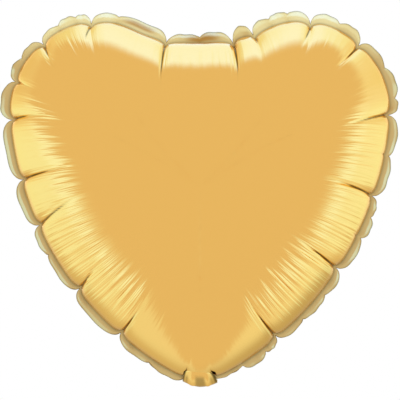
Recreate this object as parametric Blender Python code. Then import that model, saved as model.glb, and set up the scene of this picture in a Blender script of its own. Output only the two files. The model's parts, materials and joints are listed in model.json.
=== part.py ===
"""Heart-shaped foil party balloon, filled: two foil panels sealed round the edge, a tail and a film valve.

The heart stands in the XZ plane with its front towards -Y and its tip down. The origin is the neck, where
a ribbon would be tied round the root of the tail. The tail is folded up behind the back panel, as it lies
after filling. Units are metres.
"""

import math

import bpy
import numpy as np

# The seam's outline when the balloon is full, seen from the front.
SEAM_WIDTH = 0.370
SEAM_HEIGHT = 0.350
LOBE_RADIUS = 0.085
SIDE_RADIUS = 0.315
TIP_RADIUS = 0.016
CLEFT_DEPTH = 0.021
TIP_LIFT = 0.003

# How far each panel bulges from the seam at its fullest, and how flat its middle is: 1 gives a plain ellipse.
PANEL_DEPTH = 0.094
FULLNESS = 1.4

# Films and seals. Each film is drawn thicker than it is, so that it is a sound solid.
FOIL_THICKNESS = 0.0004
SEAL_THICKNESS = 0.0006
SEAL_WIDTH = 0.009
SEAL_LAP = 0.003
GAP = 0.0003

# The filling tail, flat, and the two clear films of the valve, which run through it and into the balloon.
TAIL_WIDTH = 0.034
TAIL_LENGTH = 0.085
TAIL_SEAL_WIDTH = 0.006
TAIL_ROOT = 0.0015
VALVE_FILM_THICKNESS = 0.0003
VALVE_WIDTH = 0.018
VALVE_TAIL_LENGTH = 0.070
VALVE_TONGUE_LENGTH = 0.105
VALVE_ROOT_HEIGHT = 0.013

# How finely the curved pieces are cut into flat faces.
COLUMNS = 72
ROWS = 8
SOURCES = 60

GOLD = (0.81, 0.47, 0.12, 1.0)
SEAL_GOLD = (0.58, 0.40, 0.16, 1.0)
CLEAR = (0.85, 0.87, 0.88, 1.0)


def clear_scene():
    """Remove every object of the starting scene."""
    for obj in list(bpy.data.objects):
        bpy.data.objects.remove(obj)


def material(name, colour, metallic, roughness, alpha=1.0):
    """A Principled material with one colour."""
    made = bpy.data.materials.new(name)
    made.use_nodes = True
    shader = made.node_tree.nodes["Principled BSDF"]
    shader.inputs["Base Color"].default_value = colour
    shader.inputs["Metallic"].default_value = metallic
    shader.inputs["Roughness"].default_value = roughness
    shader.inputs["Alpha"].default_value = alpha
    return made


def add_object(name, points, faces, finish, parent=None):
    """A mesh object made of points and faces, with its normals facing out."""
    mesh = bpy.data.meshes.new(name)
    mesh.from_pydata([tuple(map(float, point)) for point in points], [], faces)
    mesh.materials.append(finish)
    mesh.validate()
    obj = bpy.data.objects.new(name, mesh)
    obj.parent = parent
    bpy.context.scene.collection.objects.link(obj)
    return obj


def thicken(obj, thickness, offset):
    """Give a sheet its thickness: offset -1 keeps the sheet as the outer face, 0 keeps it in the middle."""
    solid = obj.modifiers.new("thickness", "SOLIDIFY")
    solid.thickness = thickness
    solid.offset = offset
    solid.use_rim = True


# ---------------------------------------------------------------- the heart's outline


def arc(centre, radius, start, end, count):
    """Points along a circle's arc, without the last one."""
    angle = np.linspace(start, end, count, endpoint=False)
    return np.stack([centre[0] + radius * np.cos(angle), centre[1] + radius * np.sin(angle)], axis=1)


def towards(start, end):
    """The angle of the direction from one point to another."""
    return math.atan2(end[1] - start[1], end[0] - start[0])


def right_half():
    """Right half of the outline, tip to cleft: tip, side, lobe and cleft arcs, each tangent to the next."""
    lobe = np.array([SEAM_WIDTH / 2 - LOBE_RADIUS, TIP_LIFT + SEAM_HEIGHT - LOBE_RADIUS])
    tip = np.array([0.0, TIP_LIFT + TIP_RADIUS])
    across = tip - lobe
    distance = np.hypot(*across)
    to_lobe = SIDE_RADIUS - LOBE_RADIUS
    to_tip = SIDE_RADIUS - TIP_RADIUS
    along = (distance**2 + to_lobe**2 - to_tip**2) / (2 * distance)
    aside = math.sqrt(to_lobe**2 - along**2)
    unit = across / distance
    side = lobe + unit * along + np.array([unit[1], -unit[0]]) * aside
    rest = LOBE_RADIUS - CLEFT_DEPTH
    cleft_radius = (rest**2 + lobe[0] ** 2 - LOBE_RADIUS**2) / (2 * CLEFT_DEPTH)
    cleft = np.array([0.0, lobe[1] + rest + cleft_radius])
    return np.concatenate(
        [
            arc(tip, TIP_RADIUS, -math.pi / 2, towards(side, tip), 200),
            arc(side, SIDE_RADIUS, towards(side, tip), towards(side, lobe), 800),
            arc(lobe, LOBE_RADIUS, towards(side, lobe), towards(lobe, cleft), 800),
            arc(cleft, cleft_radius, towards(cleft, lobe) + 2 * math.pi, 1.5 * math.pi, 400),
            [[0.0, cleft[1] - cleft_radius]],
        ]
    )


def heart_outline(count):
    """Evenly spaced outline points from the tip up the right side and round, with their outward normals."""
    right = right_half()
    left = right[-2:0:-1] * [-1, 1]
    loop = np.concatenate([right, left, right[:1]])
    length = np.concatenate([[0.0], np.cumsum(np.hypot(*np.diff(loop, axis=0).T))])
    at = np.arange(count) / count * length[-1]
    step = 1e-4
    points, before, after = (
        np.stack([np.interp(at + shift, length, column, period=length[-1]) for column in loop.T], axis=1)
        for shift in (0.0, -step, step)
    )
    run = after - before
    normal = np.stack([run[:, 1], -run[:, 0]], axis=1)
    return points, normal / np.linalg.norm(normal, axis=1, keepdims=True)


# ---------------------------------------------------------------- the filled shape


class Bulge:
    """Height of a filled panel over the heart.

    A membrane stretched over the outline and blown up a little stands at a height that is zero on the
    outline and whose curvature is the same everywhere. It is found here as -r^2/4 plus point sources set
    just outside the outline, with strengths that make it zero on the outline. The panel's depth is a
    rounded function of it, so the film leaves the seam steeply, stays thin towards the narrow tip and is
    nearly flat in the middle.
    """

    def __init__(self):
        rim, normal = heart_outline(4 * SOURCES)
        spacing = np.hypot(*(rim[4] - rim[0]))
        self.sources = (rim + normal * 1.5 * spacing)[::4]
        self.strengths = np.linalg.lstsq(self.terms(rim), (rim**2).sum(axis=1) / 4, rcond=None)[0]
        heights = np.linspace(rim[:, 1].min(), rim[:, 1].max(), 200)[1:-1]
        middle = np.stack([np.zeros_like(heights), heights], axis=1)
        raised = self.membrane(middle)
        self.top = raised.max()
        self.centre = middle[raised.argmax()]

    def terms(self, points):
        away = np.linalg.norm(points[:, None] - self.sources[None], axis=2)
        return np.concatenate([np.log(away), np.ones((len(points), 1))], axis=1)

    def membrane(self, points):
        return self.terms(points) @ self.strengths - (points**2).sum(axis=1) / 4

    def depth(self, points):
        share = np.clip(self.membrane(points) / self.top, 0, 1)
        return PANEL_DEPTH * np.sqrt(1 - (1 - share) ** FULLNESS)


def ring_faces(rows, columns):
    """Quads of a grid whose columns close on themselves."""
    return [
        (row * columns + one, row * columns + (one + 1) % columns, (row + 1) * columns + (one + 1) % columns,
         (row + 1) * columns + one)
        for row in range(rows)
        for one in range(columns)
    ]


def panel_sheet(bulge):
    """Points of a filled panel as (x, depth, z): rings from the rim in to the middle, the last point."""
    rim, _ = heart_outline(COLUMNS)
    rings = []
    for row in range(ROWS):
        points = rim + (bulge.centre - rim) * (row / ROWS) ** 2
        depth = bulge.depth(points) if row else np.zeros(COLUMNS)
        rings.append(np.stack([points[:, 0], depth, points[:, 1]], axis=1))
    rings.append([[bulge.centre[0], PANEL_DEPTH, bulge.centre[1]]])
    return np.concatenate(rings)


def add_panel(name, sheet, side, finish):
    """One dished foil panel: side -1 is the front, 1 the back. Its rim is a gap short of the edge seal."""
    points = sheet.copy()
    points[:, 1] = side * (points[:, 1] + SEAL_THICKNESS / 2 + GAP)
    last = (ROWS - 1) * COLUMNS
    faces = ring_faces(ROWS - 1, COLUMNS)
    faces += [(last + one, last + (one + 1) % COLUMNS, ROWS * COLUMNS) for one in range(COLUMNS)]
    if side > 0:
        faces = [face[::-1] for face in faces]
    thicken(add_object(name, points, faces, finish), FOIL_THICKNESS, -1)


def add_edge_seal(finish):
    """The welded margin round the heart, flat in the seam's plane and open at the tip for the neck."""
    rim, normal = heart_outline(4 * COLUMNS)
    clear = TAIL_WIDTH / 2 + GAP
    low = rim[:, 1] < TIP_LIFT + SEAM_HEIGHT / 2
    kept = ~(low & (np.abs(rim[:, 0] + normal[:, 0] * SEAL_WIDTH) < clear))
    order = np.flatnonzero(kept)
    order = np.unique(np.concatenate([order[::4], order[-1:]]))
    inner = rim[order] - normal[order] * SEAL_LAP
    outer = rim[order] + normal[order] * SEAL_WIDTH
    count = len(order)
    flat = np.concatenate([inner, outer])
    points = np.stack([flat[:, 0], np.zeros(2 * count), flat[:, 1]], axis=1)
    faces = [(one, one + 1, count + one + 1, count + one) for one in range(count - 1)]
    thicken(add_object("seal_seam", points, faces, finish), SEAL_THICKNESS, 0)


# ---------------------------------------------------------------- the tail and the valve


def add_strip(name, size, low_corner, finish, parent):
    """A flat strip: its size and its lowest corner, in its parent's own directions."""
    corners = [(x, y, z) for x in (0, 1) for y in (0, 1) for z in (0, 1)]
    points = np.array(low_corner) + np.array(corners) * np.array(size)
    faces = [(0, 1, 3, 2), (4, 6, 7, 5), (0, 4, 5, 1), (2, 3, 7, 6), (0, 2, 6, 4), (1, 5, 7, 3)]
    return add_object(name, points, faces, finish, parent)


def hinge(name, location, turn):
    """An empty on a fold's axis, turned about X."""
    empty = bpy.data.objects.new(name, None)
    empty.location = location
    empty.rotation_euler = (turn, 0.0, 0.0)
    bpy.context.scene.collection.objects.link(empty)
    return empty


def profile_under(sheet, half_width):
    """(z, depth) of the panel's outer points that a strip of this half width can meet."""
    middle = np.broadcast_to(sheet[-1], (1, COLUMNS, 3))
    rings = np.concatenate([sheet[:-1].reshape(ROWS, COLUMNS, 3), middle])
    share = np.linspace(0, 1, 12)[:, None, None, None]
    dense = (rings[:-1] * (1 - share) + rings[1:] * share).reshape(-1, COLUMNS, 3)
    across = np.linspace(0, 1, 6)[:, None, None, None]
    dense = (dense * (1 - across) + np.roll(dense, -1, axis=1) * across).reshape(-1, 3)
    near = dense[np.abs(dense[:, 0]) <= half_width]
    return near[:, 2], near[:, 1] + SEAL_THICKNESS / 2 + GAP


def tail_stack():
    """Total thickness of the tail: two foils, two valve films and the gaps between them."""
    return 2 * FOIL_THICKNESS + 2 * VALVE_FILM_THICKNESS + 3 * GAP


def tail_rest_angle(sheet):
    """Angle from straight up at which the folded tail lies a gap clear of back panel and edge seal."""
    z, depth = profile_under(sheet, TAIL_WIDTH / 2)
    reach = np.hypot(z, depth)
    clear = tail_stack() / 2 + GAP
    met = (reach > clear) & (reach < TAIL_ROOT + TAIL_LENGTH + GAP)
    return (np.arctan2(depth, z) + np.arcsin(clear / np.maximum(reach, clear)))[met].max()


def tongue_rest_angle(sheet):
    """Angle from straight up at which the valve's tongue leans on the inside of the back panel."""
    z, depth = profile_under(sheet, VALVE_WIDTH / 2)
    z = z - VALVE_ROOT_HEIGHT
    depth = depth - FOIL_THICKNESS
    reach = np.hypot(z, depth)
    clear = VALVE_FILM_THICKNESS + 2 * GAP
    met = (z > 0) & (reach < VALVE_TONGUE_LENGTH + GAP) & (reach > clear)
    return (np.arctan2(depth, z) - np.arcsin(clear / np.maximum(reach, clear)))[met].min()


def add_tail(sheet, foil, seal, clear):
    """The filling tail, hanging down in its parent's directions and folded up behind by its parent's turn."""
    fold = hinge("tail_fold", (0.0, 0.0, 0.0), math.pi - tail_rest_angle(sheet))
    half = tail_stack() / 2
    low = -TAIL_ROOT - TAIL_LENGTH
    inner = 2 * VALVE_FILM_THICKNESS + GAP
    size = (TAIL_WIDTH, FOIL_THICKNESS, TAIL_LENGTH)
    add_strip("tail_front", size, (-TAIL_WIDTH / 2, -half, low), foil, fold)
    add_strip("tail_back", size, (-TAIL_WIDTH / 2, half - FOIL_THICKNESS, low), foil, fold)
    edges = (("tail_seal_left", -TAIL_WIDTH / 2), ("tail_seal_right", TAIL_WIDTH / 2 - TAIL_SEAL_WIDTH))
    for name, x in edges:
        add_strip(name, (TAIL_SEAL_WIDTH, inner, TAIL_LENGTH), (x, -inner / 2, low), seal, fold)
    films = (("tail_valve_front", -inner / 2), ("tail_valve_back", inner / 2 - VALVE_FILM_THICKNESS))
    for name, y in films:
        size = (VALVE_WIDTH, VALVE_FILM_THICKNESS, VALVE_TAIL_LENGTH)
        add_strip(name, size, (-VALVE_WIDTH / 2, y, -TAIL_ROOT - VALVE_TAIL_LENGTH), clear, fold)


def add_valve_tongue(sheet, clear):
    """The valve's two films inside the balloon, which lean back with their parent."""
    root = hinge("tongue_root", (0.0, 0.0, VALVE_ROOT_HEIGHT), -tongue_rest_angle(sheet))
    size = (VALVE_WIDTH, VALVE_FILM_THICKNESS, VALVE_TONGUE_LENGTH)
    films = (("valve_front_film", -GAP / 2 - VALVE_FILM_THICKNESS), ("valve_back_film", GAP / 2))
    for name, y in films:
        add_strip(name, size, (-VALVE_WIDTH / 2, y, 0.0), clear, root)


def main():
    clear_scene()
    front_foil = material("front_foil", GOLD, 1.0, 0.15)
    back_foil = material("back_foil", GOLD, 1.0, 0.15)
    edge = material("sealed_edge", SEAL_GOLD, 1.0, 0.3)
    tail_foil = material("tail_foil", GOLD, 1.0, 0.2)
    clear = material("valve_film", CLEAR, 0.0, 0.2, alpha=0.4)
    sheet = panel_sheet(Bulge())
    add_panel("front_panel", sheet, -1, front_foil)
    add_panel("back_panel", sheet, 1, back_foil)
    add_edge_seal(edge)
    add_tail(sheet, tail_foil, edge, clear)
    add_valve_tongue(sheet, clear)


main()
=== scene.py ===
"""Looks of the filled heart-shaped foil balloon: creased panels, scalloped margin, folded tail and clear valve."""

import json
import math

import bpy
import numpy as np
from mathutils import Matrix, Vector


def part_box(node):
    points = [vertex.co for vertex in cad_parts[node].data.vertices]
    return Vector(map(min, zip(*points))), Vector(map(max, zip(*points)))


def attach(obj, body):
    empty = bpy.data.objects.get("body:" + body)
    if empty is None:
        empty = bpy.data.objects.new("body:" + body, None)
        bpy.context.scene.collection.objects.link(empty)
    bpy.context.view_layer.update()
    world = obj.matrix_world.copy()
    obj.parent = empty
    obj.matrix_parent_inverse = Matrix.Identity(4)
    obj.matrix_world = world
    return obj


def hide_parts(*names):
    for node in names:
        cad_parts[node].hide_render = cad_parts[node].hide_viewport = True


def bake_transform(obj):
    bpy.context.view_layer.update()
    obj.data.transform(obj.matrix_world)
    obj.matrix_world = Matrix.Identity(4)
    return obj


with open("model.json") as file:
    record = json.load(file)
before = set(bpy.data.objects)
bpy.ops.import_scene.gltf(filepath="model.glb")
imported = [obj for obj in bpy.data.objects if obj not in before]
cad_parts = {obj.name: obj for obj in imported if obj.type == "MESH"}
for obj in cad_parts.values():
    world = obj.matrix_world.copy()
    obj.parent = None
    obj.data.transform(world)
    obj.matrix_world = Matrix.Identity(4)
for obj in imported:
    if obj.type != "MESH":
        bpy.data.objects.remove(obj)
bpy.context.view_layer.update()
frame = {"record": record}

# ------- sizes, in metres

MM = 0.001
seam_low, seam_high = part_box("front_panel")
SEAM_WIDTH = seam_high.x - seam_low.x
SEAM_HEIGHT = seam_high.z - seam_low.z
TIP_LIFT = seam_low.z
PANEL_DEPTH = seam_high.y - seam_low.y
RIM_OFFSET = 0.2 * MM  # of each panel from the seam's plane
LOBE_RADIUS = 0.085
SIDE_RADIUS = 0.315
TIP_RADIUS = 0.016
CLEFT_DEPTH = 0.021
FULLNESS = 1.4  # how soon a panel reaches its full depth, inwards from the seam

PANEL_FILM = 0.15 * MM
MARGIN_FILM = 0.30 * MM
TAIL_FILM = 0.12 * MM
VALVE_FILM = 0.10 * MM
WELD_FILM = 0.16 * MM

tail_low, tail_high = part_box("tail_front")
TAIL_WIDTH = tail_high.x - tail_low.x
TAIL_HALF = TAIL_WIDTH / 2
TAIL_LENGTH = 0.0865
WELD = 6 * MM  # width of the tail's side welds
CHANNEL_LEVEL, WELD_LEVEL = 0.95 * MM, 0.2 * MM  # a tail foil's distance from the tail's middle
VALVE_HALF = 9 * MM  # half its width
VALVE_START, VALVE_END = 1.5 * MM, 71.5 * MM  # from the fold
VALVE_OFFSET = 0.42 * MM  # of each valve film from the tail's middle

# The panels' grid: columns round the seam, of which the inner rings keep every third, and rows. The outer rings and
# the inner ones reach to these shares of each ray.
COLUMNS = 1500
COARSE = 3
OUTER_ROWS = 26
INNER_ROWS = 13
OUTER_REACH = 0.42
INNER_REACH = 0.97

# The sealed margin: rows across, the share of the seam's length left open on each side of the neck, its width in mm
# where a crease pinches it, the share of its width that stays flat and the slope of the part beyond.
MARGIN_ROWS = 14
NECK_SHARE = 0.0118
PINCHED = 4.6
FLAT_SHARE = 0.54
CRESCENT = 0.70
TUCK = 1.6 * MM  # how far it reaches inside the rim

# Rows down the neck, rows along the tail, columns across both, and rows of the inner foil's turn into the tail.
NECK_ROWS, TAIL_ROWS, TAIL_COLUMNS, TURN_ROWS = 34, 70, 71, 13

PANEL_SEEDS = {-1: 11, 1: 23}
MARGIN_SEED = 5
OUTER_TAIL_SEED, INNER_TAIL_SEED = 3, 4

# Creases, counted along the seam from the tip up the right side and round: (share of the seam's length, how far the
# crease runs inwards, how far its line of painted shade does, depth at the seam, all in mm, and its lean in degrees).
CREASES = (
    (0.0142, 16, 11, 3.5, -8),
    (0.0762, 66, 30, 6.0, 0),
    (0.1538, 72, 32, 6.0, 5),
    (0.1858, 8, 3, 1.2, 0),
    (0.2222, 64, 30, 5.5, 6),
    (0.2583, 9, 3, 1.5, 0),
    (0.2925, 50, 32, 6.5, -13),
    (0.3589, 40, 19, 5.5, 2),
    (0.4041, 28, 16, 4.0, 14),
    (0.4534, 12, 7, 3.0, 0),
    (0.4719, 46, 32, 5.0, 1),
    (0.5288, 50, 34, 4.5, -1),
    (0.5945, 18, 15, 4.0, 20),
    (0.6392, 32, 14, 5.5, 13),
    (0.6790, 22, 4, 4.0, 1),
    (0.7117, 44, 16, 6.5, -7),
    (0.7634, 56, 30, 6.0, -1),
    (0.8044, 50, 35, 5.0, -12),
    (0.8682, 42, 19, 6.5, -13),
    (0.9197, 36, 27, 6.0, -2),
    (0.9858, 16, 12, 3.5, -10),
)
# Those long enough to part two pillows and to pinch the margin.
LONG_CREASES = [row[0] for row in CREASES if row[1] > 11]

# How strongly the film is drawn into fine lines, by share of the seam's length.
STREAKS = (
    (0.00, 0.05), (0.065, 0.10), (0.08, 1.2), (0.15, 1.3), (0.16, 1.0), (0.26, 0.8), (0.29, 0.4), (0.30, 0.15),
    (0.34, 0.25), (0.37, 0.25), (0.40, 0.15), (0.47, 0.25), (0.48, 0.8), (0.52, 0.7), (0.54, 0.15), (0.59, 0.2),
    (0.62, 0.4), (0.68, 0.25), (0.71, 0.25), (0.76, 0.45), (0.80, 0.8), (0.86, 1.3), (0.91, 1.2), (0.925, 0.15),
    (1.00, 0.05),
)
STREAK_SHARES, STREAK_STRENGTHS = np.array(STREAKS).T

# Scallops of the sealed margin: (start and end as shares of the seam's length, width in mm, lean in degrees:
# above 0 the outer edge leans back, below 0 it is folded forwards).
SCALLOPS = (
    (0.0142, 0.0391, 4.0, 10), (0.0391, 0.0613, 9.5, 0), (0.0613, 0.0762, 7.0, 0),
    (0.0762, 0.1025, 7.4, 0), (0.1025, 0.1299, 8.4, 0), (0.1299, 0.1538, 8.6, 0),
    (0.1538, 0.1858, 9.2, 0), (0.1858, 0.2051, 10.2, 0), (0.2051, 0.2222, 7.5, 5),
    (0.2222, 0.2583, 9.2, 0), (0.2583, 0.2925, 9.6, 5),
    (0.2925, 0.3062, 9.0, -5), (0.3062, 0.3313, 11.2, 20), (0.3313, 0.3589, 9.0, 5),
    (0.3589, 0.3811, 10.4, -8), (0.3811, 0.4041, 12.8, 50),
    (0.4041, 0.4221, 12.8, 50), (0.4221, 0.4360, 13.6, 50), (0.4360, 0.4534, 13.4, 50),
    (0.4534, 0.4719, 12.0, -12),
    (0.4719, 0.5000, 11.5, 30), (0.5000, 0.5288, 9.5, 30),
    (0.5288, 0.5735, 13.0, 50), (0.5735, 0.5945, 11.6, 50),
    (0.5945, 0.6064, 11.6, 50), (0.6064, 0.6208, 12.0, 50), (0.6208, 0.6392, 8.6, 45),
    (0.6392, 0.6597, 8.2, 5), (0.6597, 0.6790, 9.0, 5),
    (0.6790, 0.7117, 10.0, 5),
    (0.7117, 0.7634, 9.0, 5),
    (0.7634, 0.8044, 9.2, 0),
    (0.8044, 0.8301, 8.6, 0), (0.8301, 0.8682, 7.8, 0),
    (0.8682, 0.9197, 8.6, 0),
    (0.9197, 0.9539, 7.8, 0), (0.9539, 0.9858, 7.2, 0),
)


# ------- smooth shapes of one value


def bell(value, width, power=2):
    """1 at a value of 0, falling off to 0 on both sides: exp(-|value / width|^power)."""
    return np.exp(-(np.abs(value / width) ** power))


def bell_step(value, low, high):
    """Smooth step from 0 at low to 1 at high."""
    share = np.clip((value - low) / (high - low), 0, 1)
    return share * share * (3 - 2 * share)


def window(value, start, end, rise, fall):
    """1 between start and end, with soft ends whose lengths are rise and fall."""
    return 1 / (1 + np.exp(-(value - start) / rise)) / (1 + np.exp((value - end) / fall))


# ------- the heart


def arc(centre, radius, start, end, count):
    """Points along a circle's arc, without the last one: centre plus radius times (cosine, sine)."""
    angle = np.linspace(start, end, count, endpoint=False)
    return np.stack([centre[0] + radius * np.cos(angle), centre[1] + radius * np.sin(angle)], axis=1)


def towards(start, end):
    """The angle of the direction from one point to another."""
    return math.atan2(end[1] - start[1], end[0] - start[0])


def right_half():
    """Right half of the seam from the tip to the cleft: tip, side, lobe and cleft arcs, each tangent to the next."""
    lobe = np.array([SEAM_WIDTH / 2 - LOBE_RADIUS, TIP_LIFT + SEAM_HEIGHT - LOBE_RADIUS])
    tip = np.array([0.0, TIP_LIFT + TIP_RADIUS])
    across = tip - lobe
    distance = np.hypot(*across)
    to_lobe = SIDE_RADIUS - LOBE_RADIUS
    to_tip = SIDE_RADIUS - TIP_RADIUS
    along = (distance**2 + to_lobe**2 - to_tip**2) / (2 * distance)
    aside = math.sqrt(to_lobe**2 - along**2)
    unit = across / distance
    side = lobe + unit * along + np.array([unit[1], -unit[0]]) * aside
    rest = LOBE_RADIUS - CLEFT_DEPTH
    cleft_radius = (rest**2 + lobe[0] ** 2 - LOBE_RADIUS**2) / (2 * CLEFT_DEPTH)
    cleft = np.array([0.0, lobe[1] + rest + cleft_radius])
    return np.concatenate(
        [
            arc(tip, TIP_RADIUS, -math.pi / 2, towards(side, tip), 200),
            arc(side, SIDE_RADIUS, towards(side, tip), towards(side, lobe), 800),
            arc(lobe, LOBE_RADIUS, towards(side, lobe), towards(lobe, cleft), 800),
            arc(cleft, cleft_radius, towards(cleft, lobe) + 2 * math.pi, 1.5 * math.pi, 400),
            [[0.0, cleft[1] - cleft_radius]],
        ]
    )


def ring_smooth(values, width):
    """Values round a ring, blurred by a bell curve whose width is in samples."""
    frequency = np.fft.rfftfreq(len(values))
    bell = np.exp(-2 * (math.pi * frequency * width) ** 2)
    return np.fft.irfft(np.fft.rfft(values, axis=0) * bell.reshape(-1, *[1] * (values.ndim - 1)), len(values), axis=0)


class Seam:
    """The seam's outline by length: points, outward normals and how far a ray keeps straight on from the seam."""

    SAMPLES = 4096

    def __init__(self):
        right = right_half()
        loop = np.concatenate([right, right[-2:0:-1] * [-1, 1], right[:1]])
        length = np.concatenate([[0.0], np.cumsum(np.hypot(*np.diff(loop, axis=0).T))])
        self.length = length[-1]
        self.at = np.arange(self.SAMPLES) / self.SAMPLES * self.length
        self.points = np.stack([np.interp(self.at, length, loop[:, axis]) for axis in (0, 1)], axis=1)
        run = np.roll(self.points, -2, axis=0) - np.roll(self.points, 2, axis=0)
        normal = np.stack([run[:, 1], -run[:, 0]], axis=1)
        normal = ring_smooth(normal, 12)
        self.normals = normal / np.linalg.norm(normal, axis=1, keepdims=True)

    def ring(self, values, where):
        """Values given round the seam, read at other lengths along it."""
        return np.stack([np.interp(where, self.at, column, period=self.length) for column in values.T], axis=1)


class Bulge:
    """Depth of a filled panel over the heart.

    A membrane stretched over the seam and blown up a little has the same curvature everywhere. It is -r^2/4 plus point
    sources just outside the seam, with strengths that make it zero on the seam. The panel's depth is the full depth
    times the square root of 1 - (1 - share)^fullness, where share is the membrane's height over its greatest height.
    """

    def __init__(self, seam, sources=60):
        step = seam.SAMPLES // (4 * sources)
        rim = seam.points[::step]
        spacing = seam.length / sources
        self.sources = (rim + seam.normals[::step] * 1.5 * spacing)[::4]
        self.strengths = np.linalg.lstsq(self.terms(rim), (rim**2).sum(axis=1) / 4, rcond=None)[0]
        heights = np.linspace(rim[:, 1].min(), rim[:, 1].max(), 200)[1:-1]
        middle = np.stack([np.zeros_like(heights), heights], axis=1)
        raised = self.membrane(middle)
        self.top = raised.max()
        self.centre = middle[raised.argmax()]

    def terms(self, points):
        away = np.linalg.norm(points[:, None] - self.sources[None], axis=2)
        return np.concatenate([np.log(away), np.ones((len(points), 1))], axis=1)

    def membrane(self, points):
        return self.terms(points) @ self.strengths - (points**2).sum(axis=1) / 4

    def depth(self, points):
        flat = points.reshape(-1, 2)
        share = np.clip(self.membrane(flat) / self.top, 0, 1)
        return (PANEL_DEPTH * np.sqrt(1 - (1 - share) ** FULLNESS)).reshape(points.shape[:-1])


seam = Seam()
bulge = Bulge(seam)


def along_seam(places, where):
    """Signed distance along the seam from one place to others, the short way round."""
    return (places - where + seam.length / 2) % seam.length - seam.length / 2


def column_places():
    """Places of the columns along the seam, three times as close at a crease as far from one."""
    density = np.ones_like(seam.at)
    for share, *_ in CREASES:
        density += 2.0 * bell(along_seam(seam.at, share * seam.length), 5 * MM)
    total = np.concatenate([[0.0], np.cumsum(density)])
    return np.interp(np.arange(COLUMNS) / COLUMNS * total[-1], total, np.append(seam.at, seam.length))


def straight_reach(normals, points):
    """How far each ray keeps the seam's inward direction.

    It is half the way to the middle, but less where the seam is tightly curved and, low on the heart, where the ray
    would cross the heart's own axis.
    """
    step = 8
    turn = np.linalg.norm(np.roll(normals, -step, axis=0) - np.roll(normals, step, axis=0), axis=1)
    curve = turn / (2 * step * seam.length / seam.SAMPLES)
    reach = np.minimum(0.5 * np.linalg.norm(bulge.centre - points, axis=1), 0.8 / np.maximum(curve, 1e-6))
    to_middle = np.abs(points[:, 0]) / np.maximum(points[:, 0] * normals[:, 0], 1e-9) * np.abs(points[:, 0])
    reach = np.where(points[:, 1] < bulge.centre[1], np.minimum(reach, 0.8 * to_middle + 4 * MM), reach)
    return ring_smooth(reach, 40)


def rays(places, shares):
    """Grid of points (x, z) on curved rays from the seam to the middle.

    Each ray is a quadratic curve: it leaves the seam square to it and bends round to the middle. Rows are shares of
    the ray, columns are places along the seam.
    """
    start = seam.ring(seam.points, places)
    inwards = -seam.ring(seam.normals, places)
    reach = seam.ring(straight_reach(seam.normals, seam.points)[:, None], places)
    bend = start + inwards * reach
    t = shares[:, None, None]
    return (1 - t) ** 2 * start + 2 * t * (1 - t) * bend + t**2 * bulge.centre


def ring_difference(grid):
    """Difference between each column's neighbours, round the ring."""
    return np.roll(grid, -1, axis=1) - np.roll(grid, 1, axis=1)


def surface_normals(grid):
    """Unit normals of a ring grid, towards -Y in its middle."""
    normal = np.cross(ring_difference(grid), np.gradient(grid, axis=0))
    return normal / np.maximum(np.linalg.norm(normal, axis=2, keepdims=True), 1e-12)


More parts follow.
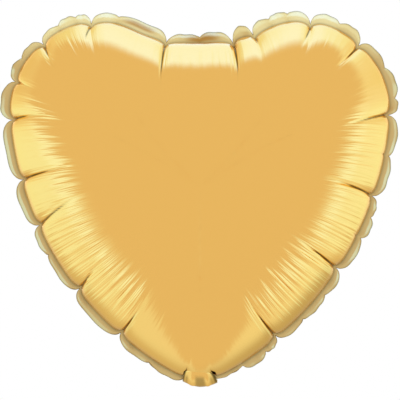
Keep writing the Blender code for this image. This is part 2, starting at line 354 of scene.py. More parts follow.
class Film:
    """One filled panel as a grid: rings of columns from the seam inwards, with every fold pressed into it.

    raised is how far each point is pushed out along its normal, and fold how much painted shade browns the film there.
    """

    def __init__(self, places, shares, seed):
        self.places = places
        self.flat = rays(places, shares)
        depth = bulge.depth(self.flat)
        self.base = np.stack([self.flat[..., 0], -depth, self.flat[..., 1]], axis=2)
        self.base[shares == 0, :, 1] = 0
        self.normals = surface_normals(self.base)
        outwards = seam.ring(seam.normals, places)
        self.normals[shares == 0] = np.stack([outwards[:, 0], 0 * places, outwards[:, 1]], axis=1)
        steps = np.linalg.norm(np.diff(self.flat, axis=0), axis=2)
        first = np.linalg.norm(self.flat[:1] - seam.ring(seam.points, places)[None], axis=2)
        self.inwards = np.concatenate([first, first + np.cumsum(steps, axis=0)])
        gap = np.linalg.norm(ring_difference(self.flat), axis=2)
        self.narrowing = gap / np.maximum(np.abs(along_seam(np.roll(places, -1), np.roll(places, 1))), 1e-9)
        self.random = np.random.default_rng(seed)
        self.fold = np.zeros(self.inwards.shape)
        self.raised = np.zeros(self.inwards.shape)
        self.strength = np.interp(places / seam.length, STREAK_SHARES, STREAK_STRENGTHS)

    def across_fold(self, share, lean, bow):
        """Distance across a line that leaves the seam at a share of its length, leaning and bowing sideways."""
        aside = self.inwards * math.tan(math.radians(lean)) + bow * self.inwards**2
        return along_seam(self.places, share * seam.length)[None] * self.narrowing - aside

    def press_creases(self):
        """A crease is a cusped cleft, exp(-(|x|/width)^0.9), on a shallow bell, and both fade inwards.

        Beside it run one or two thin companion folds, each a ridge next to a groove: x/width times a bell.
        """
        for share, reach, shade_reach, depth, lean in CREASES:
            reach, shade_reach, depth = reach * MM, shade_reach * MM, depth * MM
            bow = self.random.uniform(-1.0, 1.0)
            x = self.across_fold(share, lean, bow)
            r = self.inwards
            fade = (1 - np.clip(r / reach, 0, 1)) ** 1.3
            self.raised -= depth * (0.72 * bell(x, 1.4 * MM, 0.9) + 0.28 * bell(x, 6 * MM)) * fade
            # Painted shade: the fold mark gets a thin line down the crease, strong out to a given reach and fainter
            # beyond.
            line = bell(x, 0.80 * MM * (1.2 - 0.6 * np.clip(r / shade_reach, 0, 1)))
            shade = 1 / (1 + np.exp(np.minimum((r - 0.9 * shade_reach) / (0.07 * shade_reach), 50)))
            self.fold = np.maximum(self.fold, line * np.clip(1.1 * shade + 0.35 * fade, 0, 1))
            for _ in range(2 if reach > 30 * MM else 0):
                offset = self.random.choice((-1, 1)) * self.random.uniform(2.0, 4.2) * MM
                width = self.random.uniform(0.8, 1.3) * MM
                start = self.random.uniform(0.12, 0.35) * reach
                end = self.random.uniform(0.8, 1.15) * reach
                aside = (x - offset * (1 - 0.4 * np.clip(r / reach, 0, 1))) / width
                shown = window(r, start, end, 3 * MM, 4 * MM)
                self.raised += self.random.uniform(0.35, 0.65) * MM * aside * bell(aside, 1) * shown

    def puff_pillows(self):
        """Between two long creases the film puffs up: 1 - |2p - 1|^3.5 across the pillow, fading inwards.

        The pillow in the cleft and the two beside it puff up more than the others.
        """
        marks = np.array(LONG_CREASES) * seam.length
        index = np.searchsorted(marks, self.places % seam.length) % len(marks)
        low, high = marks[index - 1], marks[index]
        across = ((self.places - low) % seam.length) / ((high - low) % seam.length)
        share = self.places / seam.length
        top = bell(share - 0.487, 0.05) + bell(np.abs(share - 0.5) - 0.09, 0.035)
        puff = 1 - np.abs(2 * across - 1) ** 3.5
        fade = np.exp(-self.inwards / (26 * MM)) * (1 - bell_step(self.inwards, 35 * MM, 75 * MM))
        self.raised += (1.0 + 2.6 * top) * MM * puff[None] * fade

    def draw_streaks(self):
        """Fine drawn lines, each a bell across and a smooth window along, running inwards from near the seam."""
        place = 0.0
        while place < seam.length:
            place += self.random.uniform(2.2, 4.2) * MM
            strength = np.interp(place / seam.length, STREAK_SHARES, STREAK_STRENGTHS)
            width = self.random.uniform(0.8, 1.4) * MM
            start = self.random.uniform(5, 30) * MM
            end = self.random.uniform(36, 66) * MM
            height = self.random.choice((-1, 1)) * self.random.uniform(0.14, 0.40) * strength * MM
            near = np.flatnonzero(np.abs(along_seam(self.places, place)) < 8 * MM)
            x = along_seam(self.places[near], place)[None] * self.narrowing[:, near]
            shown = window(self.inwards[:, near], start, end, 3 * MM, 4 * MM)
            self.raised[:, near] += height * bell(x, width) * shown

    def draw_fingers(self):
        """Broader drawn folds that break the edge of the flat middle into fingers: ridges next to grooves."""
        place = 0.0
        while place < seam.length:
            place += self.random.uniform(7, 14) * MM
            strength = np.interp(place / seam.length, STREAK_SHARES, STREAK_STRENGTHS)
            width = self.random.uniform(1.6, 3.0) * MM
            start = self.random.uniform(14, 30) * MM
            end = self.random.uniform(44, 62) * MM
            height = self.random.choice((-1, 1)) * self.random.uniform(0.35, 0.80) * strength * MM
            near = np.flatnonzero(np.abs(along_seam(self.places, place)) < 14 * MM)
            x = along_seam(self.places[near], place)[None] * self.narrowing[:, near] / width
            shown = window(self.inwards[:, near], start, end, 4 * MM, 3 * MM)
            self.raised[:, near] += height * x * bell(x, 1) * shown

    def drawn(self):
        """How strongly the film is drawn into fine lines: the table's strength times a smooth window inwards."""
        return self.strength[None] * window(self.inwards, 9 * MM, 56 * MM, 3 * MM, 6 * MM)

    def shade_rim(self):
        """Painted shade browns the film where it dives to the seam, in a thin line that is stronger low on the heart.

        On the lowest pillows a broad, weaker painted shade lies inside the line, more so on the right.
        """
        x, z = self.flat[..., 0], self.flat[..., 1]
        low = np.clip(1.5 - z / (0.57 * SEAM_HEIGHT), 0, 1)
        lowest = 1 - bell_step(z, 105 * MM, 130 * MM)
        right = 0.5 + 0.5 * np.tanh(x / (40 * MM))
        thin = 0.85 * np.maximum(low, 0.30) * bell(self.inwards, 2.3 * MM)
        broad = (0.10 + 0.22 * right) * lowest * bell(self.inwards, 15 * MM, 4)
        self.fold = np.maximum(self.fold, np.maximum(thin, broad))

    def points(self):
        return self.base + self.normals * self.raised[..., None]


def ring_quads(rows, columns, start=0):
    """Corner numbers of a ring grid's quads."""
    index = start + np.arange((rows + 1) * columns).reshape(rows + 1, columns)
    after = np.roll(index, -1, axis=1)
    return np.stack([index[:-1], after[:-1], after[1:], index[1:]], axis=-1).reshape(-1, 4)


def sheet_quads(rows, columns):
    """Corner numbers of an open grid's quads."""
    index = np.arange(rows * columns).reshape(rows, columns)
    return np.stack([index[:-1, :-1], index[:-1, 1:], index[1:, 1:], index[1:, :-1]], axis=-1).reshape(-1, 4)


def panel_arrays(seed):
    """Points, quads, triangles, marks, (place along the seam, distance in from it) and rim points of one panel.

    It is a fine outer ring grid, close together at the seam, a coarser inner one joined to it by triangles, and a
    pole in the middle.
    """
    outer_rows = OUTER_REACH * np.linspace(0, 1, OUTER_ROWS + 1) ** 1.9
    inner_rows = OUTER_REACH + (INNER_REACH - OUTER_REACH) * np.linspace(0, 1, INNER_ROWS + 1)[1:]
    fine = Film(column_places(), outer_rows, seed)
    coarse = Film(fine.places[::COARSE], np.append(outer_rows[-1], inner_rows), seed)
    for film in (fine, coarse):
        film.press_creases()
        film.puff_pillows()
        film.draw_streaks()
        film.draw_fingers()
        film.shade_rim()
    few = COLUMNS // COARSE
    first_inner = (OUTER_ROWS + 1) * COLUMNS
    pole = np.array([[bulge.centre[0], -PANEL_DEPTH, bulge.centre[1]]])
    points = np.concatenate([fine.points().reshape(-1, 3), coarse.points()[1:].reshape(-1, 3), pole])

    def joined(outer, inner, last):
        """One array for all the panel's points, without the ring that both grids hold."""
        return np.concatenate([outer.ravel(), inner[1:].ravel(), [last]])

    marks = {
        "fold": joined(fine.fold, coarse.fold, 0.0),
        "drawn": joined(fine.drawn(), coarse.drawn(), 0.0),
    }
    along = joined(*(np.broadcast_to(film.places, film.inwards.shape) for film in (fine, coarse)), 0.0)
    inwards = joined(fine.inwards, coarse.inwards, coarse.inwards.max())
    quads = np.concatenate([ring_quads(OUTER_ROWS, COLUMNS), ring_quads(INNER_ROWS - 1, few, first_inner)])
    first, second, third = (OUTER_ROWS * COLUMNS + np.arange(COLUMNS).reshape(few, COARSE)).T
    inside = first_inner + np.arange(few)
    inside_next = np.roll(inside, -1)
    last = inside + (INNER_ROWS - 1) * few
    corners = (
        (first, second, inside),
        (second, third, inside),
        (third, inside_next, inside),
        (third, np.roll(first, -1), inside_next),
        (last, np.roll(last, -1), np.full(few, len(points) - 1)),
    )
    triangles = np.concatenate([np.stack(three, axis=1) for three in corners])
    return points, quads, triangles, marks, np.stack([along, inwards], axis=1), fine.points()[0]


# ------- the sealed margin


def margin_arrays(rim):
    """Points, quads and marks of the sealed margin as a ribbon that follows the panels' rim.

    Across the ribbon v goes from 0 inside the rim to 1 at the cut edge. Each scallop is as wide as a lens, its width
    times (1 - |2p - 1|^2.4)^0.62 with p along it, and leans out of the seam's plane, its outer half most. Ripples,
    sin(2 pi k p) times v^2, and a curl of the outermost seventh towards the front break up its light.

    Marks: edge is darker at the cut edge and has painted shade next to the rim, high is the top of both lobes, where
    painted light makes the margin paler, and a third mark is painted shade in two hollows, one in the cleft and one
    left of it.
    """
    random = np.random.default_rng(MARGIN_SEED)
    places = column_places()
    shares = places / seam.length
    width = np.full(COLUMNS, 1.0)
    lean = np.zeros(COLUMNS)
    ripple = np.zeros(COLUMNS)
    for number, (start, end, wide, angle) in enumerate(SCALLOPS):
        before = SCALLOPS[number - 1][2]
        after = SCALLOPS[(number + 1) % len(SCALLOPS)][2]
        low = PINCHED if start in LONG_CREASES else 0.58 * min(wide, before)
        high = PINCHED if end in LONG_CREASES else 0.58 * min(wide, after)
        p = (shares - start) / (end - start)
        inside = (p >= 0) & (p <= 1)
        p = np.clip(p, 0, 1)
        lens = (1 - np.abs(2 * p ** random.uniform(0.85, 1.2) - 1) ** 2.4) ** 0.62
        notch = low + (high - low) * p
        uneven = 0.35 * np.sin(2 * math.pi * (random.uniform(1.5, 2.6) * p + random.uniform(0, 1)))
        width = np.where(inside, notch + (wide - notch + uneven) * lens, width)
        lean = np.where(inside, angle * lens, lean)
        wave = np.sin(2 * math.pi * (random.uniform(0.8, 1.6) * p + random.uniform(0, 1)))
        ripple = np.where(inside, random.uniform(0.5, 1.5) * wave * lens, ripple)
    width, ripple = width * MM, ripple * MM
    v = np.linspace(0, 1, MARGIN_ROWS + 1)[:, None]
    reach = -TUCK + v * (width + TUCK)
    out = np.maximum(reach, 0)
    tilt = np.radians(lean)
    outwards = seam.ring(seam.normals, places)
    along = np.where(reach > 0, out * np.cos(tilt * 0.5), reach)
    outer = np.maximum(reach - FLAT_SHARE * width, 0)
    aside = out * np.sin(tilt * 0.75) + ripple * v**2
    aside += CRESCENT * outer * bell_step(width, 5 * MM, 8 * MM)
    aside -= 0.5 * MM * bell_step(v, 0.86, 1.0) * bell_step(width, 3 * MM, 6 * MM)
    base = np.stack([rim[:, 0], 0 * places, rim[:, 2]], axis=1)
    outwards = np.stack([outwards[:, 0], 0 * places, outwards[:, 1]], axis=1)
    points = base[None] + along[..., None] * outwards[None]
    points[..., 1] += aside
    # Darker at the cut edge, and painted shade next to the rim.
    edge = np.maximum(bell_step(v, 0.90, 0.97), 0.60 * bell(reach, 1.7 * MM))
    # Painted light: the top of both lobes is made paler.
    high = np.broadcast_to(bell_step(rim[:, 2], 0.31, 0.345) * bell_step(np.abs(rim[:, 0]), 0, 0.03), along.shape)
    # Painted shade in two hollows, one in the cleft and one left of it.
    hollow_shade = np.maximum(
        bell(shares - 0.497, 0.014, 4) * bell(v - 0.52, 0.26, 4),
        0.9 * bell(shares - 0.555, 0.014, 4) * bell(v - 0.60, 0.22, 4),
    )
    kept = np.flatnonzero((shares > NECK_SHARE) & (shares < 1 - NECK_SHARE))
    points, edge, high, hollow_shade = (grid[:, kept] for grid in (points, edge, high, hollow_shade))
    marks = {"edge": edge.ravel(), "high": high.ravel(), "hollow_shade": hollow_shade.ravel()}
    return points.reshape(-1, 3), sheet_quads(*points.shape[:2]), marks


# ------- meshes


def make_mesh(name, points, quads, triangles=None, marks=None, flat=None):
    """A smooth-shaded mesh object from whole arrays.

    marks are named values for each point. flat gives each point's place in the film before it was bent, which
    becomes the UV map; where it closes on itself, the lower ends of a face's corners are moved on by one round.
    """
    triangles = np.zeros((0, 3), int) if triangles is None else triangles
    mesh = bpy.data.meshes.new(name)
    mesh.vertices.add(len(points))
    mesh.vertices.foreach_set("co", points.astype(np.float32).ravel())
    corners = np.concatenate([quads.ravel(), triangles.ravel()])
    sizes = np.concatenate([np.full(len(quads), 4), np.full(len(triangles), 3)])
    mesh.loops.add(len(corners))
    mesh.loops.foreach_set("vertex_index", corners.astype(np.int32))
    mesh.polygons.add(len(sizes))
    mesh.polygons.foreach_set("loop_start", np.concatenate([[0], np.cumsum(sizes)[:-1]]).astype(np.int32))
    mesh.polygons.foreach_set("use_smooth", np.ones(len(sizes), bool))
    for key, values in (marks or {}).items():
        mesh.attributes.new(key, "FLOAT", "POINT").data.foreach_set("value", values.astype(np.float32))
    if flat is not None:
        pairs = []
        for faces in (quads, triangles):
            corner = flat[faces]
            along = corner[..., 0]
            split = (along.max(axis=1) - along.min(axis=1)) > seam.length / 2
            corner[split, :, 0] = np.where(along[split] < seam.length / 2, along[split] + seam.length, along[split])
            pairs.append(corner.reshape(-1, 2))
        mesh.uv_layers.new(name="film").data.foreach_set("uv", np.concatenate(pairs).astype(np.float32).ravel())
    mesh.update(calc_edges=True)
    mesh.validate()
    obj = bpy.data.objects.new(name, mesh)
    bpy.context.scene.collection.objects.link(obj)
    return obj


def thicken(obj, thickness, offset):
    """Give a film its thickness: offset -1 adds it on the inside."""
    solid = obj.modifiers.new("thickness", "SOLIDIFY")
    solid.thickness = thickness
    solid.offset = offset
    solid.use_rim = True


# ------- materials

GOLD = (1.0, 0.60, 0.19)
GOLD_EDGE = (1.0, 0.86, 0.60)  # its tint where the eye meets it at a flat angle
# Painted shade, mixed in by the fold mark in creases, along the rim and on the neck.
FOLD_SHADE_BROWN = (0.085, 0.042, 0.010)
KHAKI = (0.76, 0.56, 0.29)
# Painted light: the margin's paler tone at the top of the lobes.
TOP_LIGHT_KHAKI = (0.93, 0.80, 0.42)
# Painted shade in two hollows of the margin.
HOLLOW_SHADE_BROWN = (0.55, 0.30, 0.09)
# The margin's darker cut edge, and painted shade next to the rim.
EDGE_AND_RIM_SHADE_BROWN = (0.33, 0.27, 0.14)
LINE_DEPTH = 1.3 * MM
FOIL_ROUGHNESS = 0.12


def new_material(name):
    """A new material with its node tree and its Principled shader."""
    made = bpy.data.materials.new(name)
    made.use_nodes = True
    return made, made.node_tree, made.node_tree.nodes["Principled BSDF"]


def give(tree, socket, value):
    """Set a socket to a number, a vector or a colour, or link another node's output to it."""
    if isinstance(value, bpy.types.NodeSocket):
        tree.links.new(value, socket)
    elif isinstance(value, tuple):
        socket.default_value = (*value, 1.0)[: len(socket.default_value)]
    else:
        socket.default_value = value


def fill(tree, made, **values):
    """Give values to a node's sockets, whose names have _ for a space."""
    for key, value in values.items():
        give(tree, made.inputs[key.replace("_", " ")], value)
    return made


def add_node(tree, kind, **values):
    """A new node with values given to its sockets."""
    return fill(tree, tree.nodes.new("ShaderNode" + kind), **values)


def own_place(tree):
    """The object's own coordinates."""
    return add_node(tree, "TexCoord").outputs["Object"]


def noise(tree, scale, detail):
    """Noise over the object's own coordinates."""
    return add_node(tree, "TexNoise", Vector=own_place(tree), Scale=scale, Detail=detail).outputs["Fac"]


def spread(tree, value, low, high):
    """A 0 to 1 value mapped to a range."""
    return add_node(tree, "MapRange", Value=value, To_Min=low, To_Max=high).outputs["Result"]


def two_colours(tree, share, first, second):
    """Mix of two colours by a share. Each colour is three values or another node's output."""
    made = add_node(tree, "Mix")
    made.data_type = "RGBA"
    return fill(tree, made, Factor=share, A=first, B=second).outputs["Result"]


def named_value(tree, key):
    """A value stored on the mesh's points."""
    made = add_node(tree, "Attribute")
    made.attribute_name = key
    return made.outputs["Fac"]


def relief(tree, height, strength, distance, below=None):
    """Tiny relief, on the bare surface or on top of another relief."""
    made = add_node(tree, "Bump", Height=height, Strength=strength, Distance=distance)
    if below is not None:
        give(tree, made.inputs["Normal"], below)
    return made.outputs["Normal"]


def drawn_lines(tree):
    """Fine lines that run in from the seam: noise over the film's own map, 3 mm apart and 80 mm long."""
    where = add_node(tree, "UVMap")
    where.uv_map = "film"
    scaled = add_node(tree, "Mapping", Vector=where.outputs["UV"], Scale=(330.0, 12.0, 1.0))
    made = add_node(tree, "TexNoise")
    made.noise_dimensions = "2D"
    return fill(tree, made, Vector=scaled.outputs["Vector"], Scale=1.0, Detail=1.5, Roughness=0.6).outputs["Fac"]


def gold_foil(name):
    """Bright gold metallised film with drawn lines and a faint crinkle; painted shade browns the bottom of a fold and
    the rim.
    """
    made, tree, shader = new_material(name)
    crinkle = relief(tree, noise(tree, 420, 2), 0.03, 0.2 * MM)
    fill(
        tree,
        shader,
        Metallic=1.0,
        Specular_Tint=GOLD_EDGE,
        # Painted shade: the fold mark browns the film in creases and along the rim.
        Base_Color=two_colours(tree, named_value(tree, "fold"), GOLD, FOLD_SHADE_BROWN),
        Roughness=spread(tree, noise(tree, 60, 3), FOIL_ROUGHNESS - 0.02, FOIL_ROUGHNESS + 0.03),
        Normal=relief(tree, drawn_lines(tree), named_value(tree, "drawn"), LINE_DEPTH, crinkle),
    )
    return made


def tail_foil(name):
    """Foil of the tail: gold with painted shade in the neck's folds, the two side welds duller and pressed into fine
    slanting lines.
    """
    made, tree, shader = new_material(name)
    weld = named_value(tree, "weld")
    turned = add_node(tree, "Mapping", Vector=own_place(tree), Rotation=(0.0, 0.0, math.radians(45)))
    lines = add_node(tree, "TexWave", Vector=turned.outputs["Vector"], Scale=260.0).outputs["Fac"]
    pressed = relief(tree, lines, spread(tree, weld, 0.0, 0.5), 0.3 * MM)
    smooth = two_colours(tree, weld, GOLD, KHAKI)
    fill(
        tree,
        shader,
        Metallic=1.0,
        Specular_Tint=GOLD_EDGE,
        # Painted shade: the fold mark browns the neck's sides and groove.
        Base_Color=two_colours(tree, named_value(tree, "fold"), smooth, FOLD_SHADE_BROWN),
        Roughness=spread(tree, weld, 0.15, 0.32),
        Normal=relief(tree, noise(tree, 130, 3), 0.25, 0.6 * MM, pressed),
    )
    return made


def sealed_foil(name):
    """The welded margin: duller gold with a fine pressed grain and a darker cut edge. Painted light makes it paler at
    the top of the lobes, and painted shade darkens it next to the rim and in two hollows.
    """
    made, tree, shader = new_material(name)
    high = named_value(tree, "high")
    # Painted light pales the top of the lobes; painted shade browns two hollows.
    colour = two_colours(tree, named_value(tree, "hollow_shade"), two_colours(tree, high, KHAKI, TOP_LIGHT_KHAKI), HOLLOW_SHADE_BROWN)
    fill(
        tree,
        shader,
        # Less metallic at the top of the lobes, part of the painted light there.
        Metallic=spread(tree, high, 1.0, 0.35),
        Specular_Tint=GOLD_EDGE,
        # Darker at the cut edge, with painted shade next to the rim.
        Base_Color=two_colours(tree, named_value(tree, "edge"), colour, EDGE_AND_RIM_SHADE_BROWN),
        Roughness=spread(tree, noise(tree, 300, 2), 0.28, 0.42),
        Normal=relief(tree, noise(tree, 1400, 1), 0.10, 0.2 * MM),
    )
    return made


def clear_film(name):
    """Clear valve film, faintly milky, with a soft crinkle."""
    made, tree, shader = new_material(name)
    fill(
        tree,
        shader,
        Base_Color=(0.85, 0.87, 0.88),
        Alpha=0.4,
        IOR=1.5,
        Roughness=spread(tree, noise(tree, 120, 2), 0.12, 0.28),
        Normal=relief(tree, noise(tree, 160, 3), 0.2, 0.5 * MM),
    )
    return made


front_gold = gold_foil("front_gold_foil")
back_gold = gold_foil("back_gold_foil")
tail_gold = tail_foil("tail_gold_foil")
seal_gold = sealed_foil("sealed_margin_foil")
valve_clear = clear_film("valve_clear_film")


# ------- the two panels


def add_panel(name, node, side, finish):
    """One foil panel: side -1 is the front, 1 the back, its mirror image with fine lines of its own."""
    points, quads, triangles, marks, flat, rim = panel_arrays(PANEL_SEEDS[side])
    points = points * [1, -side, 1] + [0, side * RIM_OFFSET, 0]
    if side > 0:
        quads, triangles = quads[:, ::-1], triangles[:, ::-1]
    panel = make_mesh(name, points, quads, triangles, marks, flat)
    panel.data.materials.append(finish)
    thicken(panel, PANEL_FILM, -1)
    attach(panel, "envelope")
    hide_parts(node)
    return rim


rim = add_panel("front_foil_panel", "front_panel", -1, front_gold)
add_panel("back_foil_panel", "back_panel", 1, back_gold)


def add_margin():
    """The welded margin round the heart, open at the neck."""
    points, quads, marks = margin_arrays(rim)
    margin = make_mesh("sealed_margin", points, quads, marks=marks)
    margin.data.materials.append(seal_gold)
    thicken(margin, MARGIN_FILM, 0)
    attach(margin, "envelope")
    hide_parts("seal_seam")


add_margin()


# ------- the neck and the tail

# At rest the tail's outer face looks along TAIL_OUT, and the tail runs from the fold along TAIL_ALONG.
TAIL_OUT = np.array(next(row["axis"] for row in frame["record"]["mounts"] if row["name"] == "tail_face"))
TAIL_ALONG = np.array([0.0, -TAIL_OUT[2], TAIL_OUT[1]])


def tail_place(u, run, off):
    """Points of the tail: u across from -1 to 1, run along from the fold, off towards its outer face.

    At the fold the tail hangs in an arc: its sides are lifted by a power of u that fades out along the tail.
    """
    lift = np.where(u < 0, 5.6 * MM * np.abs(u) ** 1.6, 4.2 * MM * np.abs(u) ** 1.9)
    lift = lift * (1 - bell_step(run, 0, 20 * MM))
    u, run, off = np.broadcast_arrays(u, run, off)
    return (
        (TAIL_HALF * u)[..., None] * [1, 0, 0]
        + run[..., None] * TAIL_ALONG
        + off[..., None] * TAIL_OUT
        + lift[..., None] * [0, 0, 1]
    )


def tail_offset(x, run, seed):
    """How far a tail foil stands off the tail's middle: 0.95 mm over the channel, 0.2 mm at the welds, crumpled."""
    random = np.random.default_rng(seed)
    inner = TAIL_HALF - WELD
    channel = 1 - bell_step(np.abs(x), inner - 1.5 * MM, inner + 0.6 * MM)
    crumple = np.zeros(np.broadcast(x, run).shape)
    for _ in range(7):
        way = random.uniform(-1, 1) * x + random.uniform(0.3, 1) * run
        crumple += np.abs(np.sin(2 * math.pi * way / (random.uniform(14, 40) * MM) + random.uniform(0, 6)))
    fade = bell_step(run, 4 * MM, 16 * MM)
    level = WELD_LEVEL + (CHANNEL_LEVEL - WELD_LEVEL) * channel
    return level + 0.09 * MM * crumple * fade * (0.3 + 0.7 * channel)


def weld_mark(u):
    """1 on the tail's two side welds and 0 between them."""
    side = (1 - np.abs(u)) * TAIL_HALF
    return bell_step(-side, -(WELD + 0.2 * MM), -(WELD - 0.4 * MM))


def neck_arrays():
    """Points and marks of the tail's outer foil: down the front of the neck, round the fold and along the tail.

    Each place u across the neck is a straight line, seen from the front, from the panel down to the fold. w goes from
    0 to 1 along it. The neck's depth along it is the panel's own depth between the line's start and the seam,
    stretched down to the fold. Two ridges and a groove between them, bells across the neck, run down it.

    Marks: fold is painted shade, browning the film along both sides of the neck and down the groove and the ridges'
    outer sides, and weld is the tail's two side welds.
    """
    u = np.linspace(-1, 1, TAIL_COLUMNS)[None]
    w = 1 - (1 - np.linspace(0, 1, NECK_ROWS)[:, None]) ** 1.9
    # Where the lines start on the panel: a shallow arch, a little to the left of the middle.
    top = np.stack([(-1.7 + 12.1 * u[0]) * MM, (16.4 - 1.0 * u[0] + 1.6 * (1 - u[0] ** 2)) * MM], axis=1)
    lap = 0.85 * MM
    fold_line = tail_place(u, 0.0, lap)[0]
    low = fold_line[:, ::2]
    # Halving again and again finds how far along it each line crosses the seam.
    near, far = np.zeros(TAIL_COLUMNS), np.ones(TAIL_COLUMNS)
    for _ in range(30):
        middle = (near + far) / 2
        inside = bulge.membrane(top + (low - top) * middle[:, None]) > 0
        near, far = np.where(inside, middle, near), np.where(inside, far, middle)
    on_panel = top[None] + (low - top)[None] * near[None, :, None] * w[..., None]
    seen = top[None] + (low - top)[None] * w[..., None]
    seen[..., 0] += np.where(u > 0, 1.9, -0.9) * MM * u**4 * np.sin(math.pi * w**0.7)
    neck = np.stack([seen[..., 0], -bulge.depth(on_panel) + fold_line[None, :, 1] * w**3, seen[..., 1]], axis=2)
    normal = np.cross(np.gradient(neck, axis=0), np.gradient(neck, axis=1))
    normal /= np.linalg.norm(normal, axis=2, keepdims=True)
    normal *= -np.sign(normal[NECK_ROWS // 2, TAIL_COLUMNS // 2, 1])
    x = neck[..., 0]
    groove = bell(x - 0.6 * MM, 4.4 * MM, 4)
    ridges = bell(x + 8.0 * MM, 2.6 * MM) + bell(x - 7.8 * MM, 2.2 * MM)
    shown = bell_step(w, 0.12, 0.62) * (1 - bell_step(w, 0.93, 1.0))
    raised = 0.50 + 0.45 * bell_step(w, 0.05, 0.5) - 0.9 * np.exp(-w / 0.03)
    raised = raised * (1 - np.abs(u) ** 5) - 1.2 * np.abs(u) ** 6 * (1 - w) + shown * (0.9 * ridges - 0.5 * groove)
    neck = neck + normal * (raised * MM * (1 - bell_step(w, 0.86, 1.0)))[..., None]
    run = np.linspace(0, TAIL_LENGTH, TAIL_ROWS + 1)[1:, None]
    settled = bell_step(run, 0, 6 * MM)
    across = TAIL_HALF * u
    tail = tail_place(u, run, lap * (1 - settled) + tail_offset(across, run, OUTER_TAIL_SEED) * settled)
    at = np.concatenate([w, 1 + run / (4 * MM)])
    side = (1 - np.abs(u)) * TAIL_HALF
    # Painted shade along both sides of the neck and down its groove and the ridges' outer sides.
    crease = 0.95 * bell(side / np.where(u > 0, 2.3 * MM, 1.5 * MM), 1, 4) * np.clip(2.2 - 1.4 * at, 0, 1)
    neck_shade = 0.56 * bell(across - 0.9 * MM, 5.4 * MM, 6)
    neck_shade = neck_shade + 0.45 * (bell(across - 13.0 * MM, 1.8 * MM) + bell(across + 13.4 * MM, 1.5 * MM))
    fold = np.clip(crease + neck_shade * bell_step(at, 0.18, 0.50) * (1 - bell_step(at, 1.0, 1.8)), 0, 1)
    return np.concatenate([neck, tail]), fold, weld_mark(u) * bell_step(at, 1.4, 2.4)


def inner_arrays():
    """Points and marks of the tail's inner foil: a quadratic curve in from behind the seam, then along the tail."""
    u = np.linspace(-1, 1, TAIL_COLUMNS)[None]
    meet = 3 * MM
    start = np.stack([0.72 * TAIL_HALF * u, 1.5 * MM + 0 * u, 9 * MM + 0 * u], axis=2)
    end = tail_place(u, meet, -tail_offset(TAIL_HALF * u, meet + 0 * u, INNER_TAIL_SEED))
    w = np.linspace(0, 1, TURN_ROWS + 1)[:-1, None, None]
    turn_in = (1 - w) ** 2 * start + 2 * w * (1 - w) * (end - 3 * MM * TAIL_ALONG) + w**2 * end
    run = np.linspace(meet, TAIL_LENGTH, TAIL_ROWS + 1)[:, None]
    hold = np.minimum(tail_offset(TAIL_HALF * u, run, INNER_TAIL_SEED), 1.1 * MM)
    on_tail = np.concatenate([np.zeros(TURN_ROWS), np.ones(TAIL_ROWS + 1)])[:, None]
    weld = weld_mark(u) * on_tail
    return np.concatenate([turn_in, tail_place(u, run, -hold)]), 0 * weld, weld


def tail_piece(name, points, finish, thickness, marks=None, turned=False):
    """One film of the tail as a mesh with its material and thickness; turned makes its faces look the other way."""
    quads = sheet_quads(*points.shape[:2])
    marks = {key: values.ravel() for key, values in (marks or {}).items()}
    piece = make_mesh(name, points.reshape(-1, 3), quads[:, ::-1] if turned else quads, marks=marks)
    piece.data.materials.append(finish)
    thicken(piece, thickness, 0)
    return piece


def add_foil(name, arrays, node, turned):
    """A foil of the tail: it lies on the balloon in front of the fold and along the tail behind it."""
    points, fold, weld = arrays
    foil = tail_piece(name, points, tail_gold, TAIL_FILM, {"fold": fold, "weld": weld}, turned)
    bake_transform(foil)
    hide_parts(node)


def add_valve(name, node, off):
    """One clear valve film inside the tail."""
    across = np.linspace(-VALVE_HALF, VALVE_HALF, 25)[None] / TAIL_HALF
    run = np.linspace(VALVE_START, VALVE_END, 50)[:, None]
    film = tail_piece(name, tail_place(across, run, off), valve_clear, VALVE_FILM)
    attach(film, "tail")
    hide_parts(node)


def add_weld(name, node, side):
    """The weld down one side of the tail: -1 left, 1 right."""
    across = side * np.linspace(1 - WELD / TAIL_HALF, 1 + 0.01, 8)[None]
    run = np.linspace(2 * MM, TAIL_LENGTH + 0.2 * MM, 60)[:, None]
    points = tail_place(across, run, 0.0)
    marks = {key: np.zeros(points.shape[:2]) for key in ("edge", "high", "hollow_shade")}
    strip = tail_piece(name, points, seal_gold, WELD_FILM, marks, turned=side < 0)
    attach(strip, "tail")
    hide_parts(node)


add_foil("tail_outer_foil", neck_arrays(), "tail_front", turned=False)
add_foil("tail_inner_foil", inner_arrays(), "tail_back", turned=True)
add_valve("tail_outer_valve", "tail_valve_front", VALVE_OFFSET)
add_valve("tail_inner_valve", "tail_valve_back", -VALVE_OFFSET)
add_weld("tail_weld_left", "tail_seal_left", -1)
add_weld("tail_weld_right", "tail_seal_right", 1)
for node in ("valve_front_film", "valve_back_film"):
    film = bpy.data.objects[node]
    for held in film.material_slots:
        held.material = valve_clear


# ------- stage, light and camera

FLOOR_HALF = 3.0
FLOOR_LEVEL = -0.42
CAMERA_HEIGHT = 0.1818
VIEW_WIDTH = 0.391  # of what the camera sees at the heart's middle
CAMERA_LENS, CAMERA_SENSOR = 180.0, 36.0  # in mm

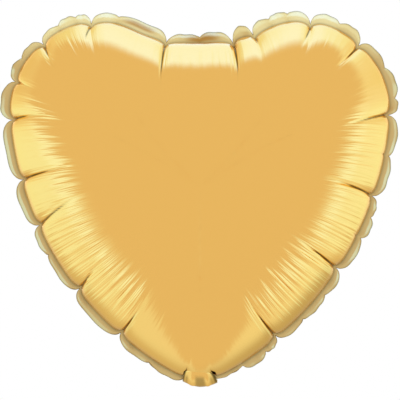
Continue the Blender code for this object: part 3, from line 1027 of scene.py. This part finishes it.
# The studio's light. Each edge is (height share from -1 to 1, turn), each light (rise from 0 to 1, colour).
RIGHT_EDGE = (
    (-1.0, -0.17), (-0.95, -0.10), (-0.88, 0.25), (-0.80, 0.50), (-0.60, 0.56), (-0.30, 0.58), (0.0, 0.56),
    (0.23, 0.48), (0.35, 0.26), (0.70, 0.12), (0.88, 0.02), (1.0, 0.12),
)
LEFT_EDGE = (
    (-1.0, -0.17), (-0.97, -0.05), (-0.93, 0.22), (-0.88, 0.50), (-0.80, 0.70), (-0.50, 0.74), (-0.20, 0.70),
    (0.0, 0.58), (0.16, 0.24), (0.40, 0.02), (0.60, -0.02), (0.80, -0.18), (1.0, 0.12),
)
LEFT_LIGHT = (
    (0.0, (0.90, 1.00, 0.92)), (0.10, (0.90, 1.03, 0.95)), (0.17, (0.89, 1.03, 0.93)),
    (0.25, (0.95, 1.28, 1.38)), (0.45, (0.96, 1.32, 1.45)), (0.53, (0.95, 1.22, 1.22)),
    (0.60, (0.92, 1.05, 0.95)), (0.68, (0.85, 0.88, 0.74)), (0.80, (0.84, 0.86, 0.72)),
    (0.88, (0.88, 0.95, 0.85)), (0.95, (0.90, 1.12, 1.12)), (0.99, (0.99, 1.45, 2.3)), (1.0, (1.0, 1.5, 2.7)),
)
RIGHT_LIGHT = (
    (0.0, (0.90, 1.00, 0.92)), (0.10, (0.92, 1.05, 0.95)), (0.17, (0.88, 1.00, 0.92)),
    (0.26, (0.96, 1.28, 1.35)), (0.45, (0.99, 1.34, 1.50)), (0.55, (0.97, 1.25, 1.30)),
    (0.62, (0.95, 1.13, 1.16)), (0.72, (0.92, 1.05, 0.94)), (0.82, (0.93, 1.10, 1.10)),
    (0.90, (0.95, 1.26, 1.42)), (0.955, (0.98, 1.42, 2.1)), (1.0, (1.0, 1.5, 2.7)),
)
BACK_LIGHT = ((0.12, (0.62, 0.58, 0.50)), (0.38, (0.95, 0.90, 0.80)), (0.55, (1.15, 1.10, 1.0)))
FRONT_GREY = (0.81, 0.783, 0.616)
STRIP_LIGHT = (1.0, 1.46, 1.95)
LOW_LIGHT = (0.74, 0.74, 0.60)


def add_floor():
    """A pale floor below the floating balloon."""
    corners = np.array([(-1, -1), (1, -1), (1, 1), (-1, 1)])
    points = np.concatenate([FLOOR_HALF * corners, np.full((4, 1), FLOOR_LEVEL)], axis=1)
    floor = make_mesh("floor", points, np.array([[0, 1, 2, 3]]))
    made, tree, shader = new_material("floor_matte")
    fill(tree, shader, Base_Color=(0.93, 0.91, 0.88), Roughness=0.9)
    floor.data.materials.append(made)
    floor.visible_glossy = False


def studio_light():
    """Soft studio: an even grey in front, bright panels at the sides and above, dimmer light below and behind.

    turn is the cosine of the angle between a direction and straight ahead. rise is the direction's height as a share
    of its distance from that axis, from 0 below to 1 above. The bright panels begin where turn falls below an edge
    that depends on rise, with a table for each side, and past is how far beyond the edge a direction is. A strip in
    them is brighter. Low and far round to the sides the light is dimmer. Only mirrored rays see any of it: the
    background and soft light are white.
    """
    world = bpy.data.worlds.new("studio")
    bpy.context.scene.world = world
    world.use_nodes = True
    tree = world.node_tree
    split = add_node(tree, "SeparateXYZ", Vector=add_node(tree, "TexCoord").outputs["Generated"])
    x, y, z = split.outputs

    def maths(operation, *values):
        made = add_node(tree, "Math")
        made.operation = operation
        for socket, value in zip(made.inputs, values):
            give(tree, socket, value)
        return made.outputs[0]

    def ramp(value, stops):
        """A colour or a grey for each value from 0 to 1, with smooth steps between the stops."""
        made = add_node(tree, "ValToRGB", Fac=value)
        made.color_ramp.interpolation = "EASE"
        elements = made.color_ramp.elements
        while len(elements) < len(stops):
            elements.new(0.5)
        for element, (place, colour) in zip(elements, stops):
            element.position = place
            element.color = (*(colour if isinstance(colour, tuple) else 3 * (colour,)), 1.0)
        return made.outputs["Color"]

    def edge_of(table):
        """The edge's turn at each rise. A ramp only holds 0 to 1, so both columns are squeezed into that."""
        return maths("MULTIPLY_ADD", ramp(rise, [((z + 1) / 2, (edge + 1) / 2) for z, edge in table]), 2.0, -1.0)

    turn = maths("MULTIPLY", y, -1.0)
    turned_back = maths("MULTIPLY", turn, -1.0)
    aside = maths("SQRT", maths("ADD", maths("MULTIPLY", x, x), maths("MULTIPLY", z, z)))
    rise = maths("MULTIPLY_ADD", maths("DIVIDE", z, maths("MAXIMUM", aside, 0.0001)), 0.5, 0.5)
    side = add_node(tree, "MapRange", Value=x, From_Min=-0.15, From_Max=0.15).outputs["Result"]
    edge = two_colours(tree, side, edge_of(LEFT_EDGE), edge_of(RIGHT_EDGE))
    past = maths("DIVIDE", maths("SUBTRACT", edge, turn), 0.60)
    bright = two_colours(tree, side, ramp(rise, LEFT_LIGHT), ramp(rise, RIGHT_LIGHT))
    strip = maths(
        "MULTIPLY",
        ramp(past, [(0.15, 0.0), (0.40, 0.75), (0.65, 0.75), (1.0, 0.0)]),
        ramp(rise, [(0.17, 0.0), (0.25, 1.0), (0.52, 1.0), (0.62, 0.0)]),
    )
    bright = two_colours(tree, strip, bright, STRIP_LIGHT)
    lit = two_colours(tree, ramp(past, [(0.0, 0.0), (0.5, 1.0)]), FRONT_GREY, bright)
    low_rim = maths(
        "MULTIPLY", ramp(turned_back, [(0.30, 0.0), (0.75, 0.85)]), ramp(rise, [(0.21, 1.0), (0.33, 0.0)])
    )
    lit = two_colours(tree, low_rim, lit, LOW_LIGHT)
    grazing = maths(
        "MULTIPLY", ramp(turned_back, [(0.72, 0.0), (0.97, 1.0)]), ramp(rise, [(0.80, 1.0), (0.92, 0.0)])
    )
    lit = two_colours(tree, grazing, lit, ramp(rise, BACK_LIGHT))
    path = add_node(tree, "LightPath")
    plain = maths("MAXIMUM", path.outputs["Is Camera Ray"], path.outputs["Is Diffuse Ray"])
    fill(tree, tree.nodes["Background"], Color=two_colours(tree, plain, lit, (1.0, 1.0, 1.0)))


def add_camera():
    """A long lens, level with the middle of the heart and square to it."""
    data = bpy.data.cameras.new("camera")
    data.lens = CAMERA_LENS
    data.sensor_width = CAMERA_SENSOR
    camera = bpy.data.objects.new("camera", data)
    bpy.context.scene.collection.objects.link(camera)
    camera.location = (0.0, -VIEW_WIDTH * CAMERA_LENS / CAMERA_SENSOR, CAMERA_HEIGHT)
    camera.rotation_euler = (math.pi / 2, 0.0, 0.0)
    bpy.context.scene.camera = camera


add_floor()
studio_light()
add_camera()
bpy.context.scene.view_settings.view_transform = "Standard"
